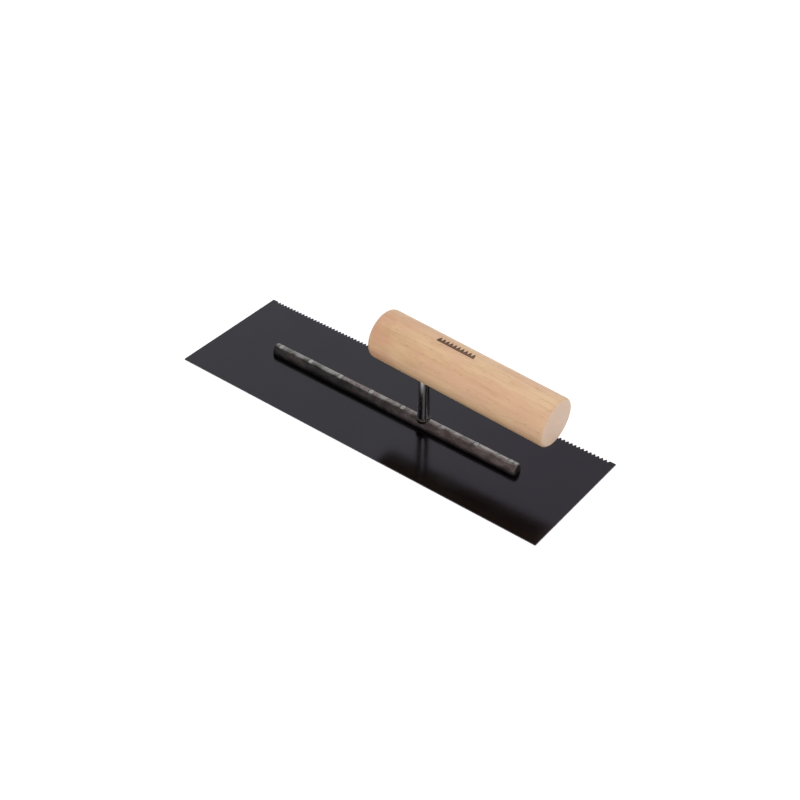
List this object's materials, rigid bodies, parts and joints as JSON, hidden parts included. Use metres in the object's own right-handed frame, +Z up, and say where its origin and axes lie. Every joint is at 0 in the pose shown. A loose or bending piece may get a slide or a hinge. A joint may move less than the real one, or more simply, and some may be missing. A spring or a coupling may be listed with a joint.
{
  "type": "notched trowel",
  "caption": "Flat black steel blade with fine V notches along one long edge, riveted to a rib with a round steel stem and a turned wooden handle.",
  "frame": {"origin": "centre of the blade's rectangle, on its flat working face, which the trowel stands on", "axes": "+X along the blade's long edges towards the end under the long part of the handle; +Y across the blade towards its notched edge; +Z up from the working face through the stem to the handle"},
  "size_m": [0.285, 0.09, 0.076],
  "materials": {
    "blade_steel": "gloss black blued and lacquered steel",
    "rib_steel": "dark mill scale, rubbed lighter along the crown",
    "rivet_steel": "hammered bright steel",
    "stem_steel": "ground and polished steel",
    "weld_metal": "dark weld bead",
    "beech_wood": "sanded and thinly lacquered beech",
    "pin_steel": "plain steel"
  },
  "bodies": {
    "root": {"blade": "blade_steel", "rib": "rib_steel", "rivets": "rivet_steel", "stem": "stem_steel", "stem_weld": "weld_metal", "handle": "beech_wood", "lock_pin": "pin_steel"}
  },
  "joints": []
}
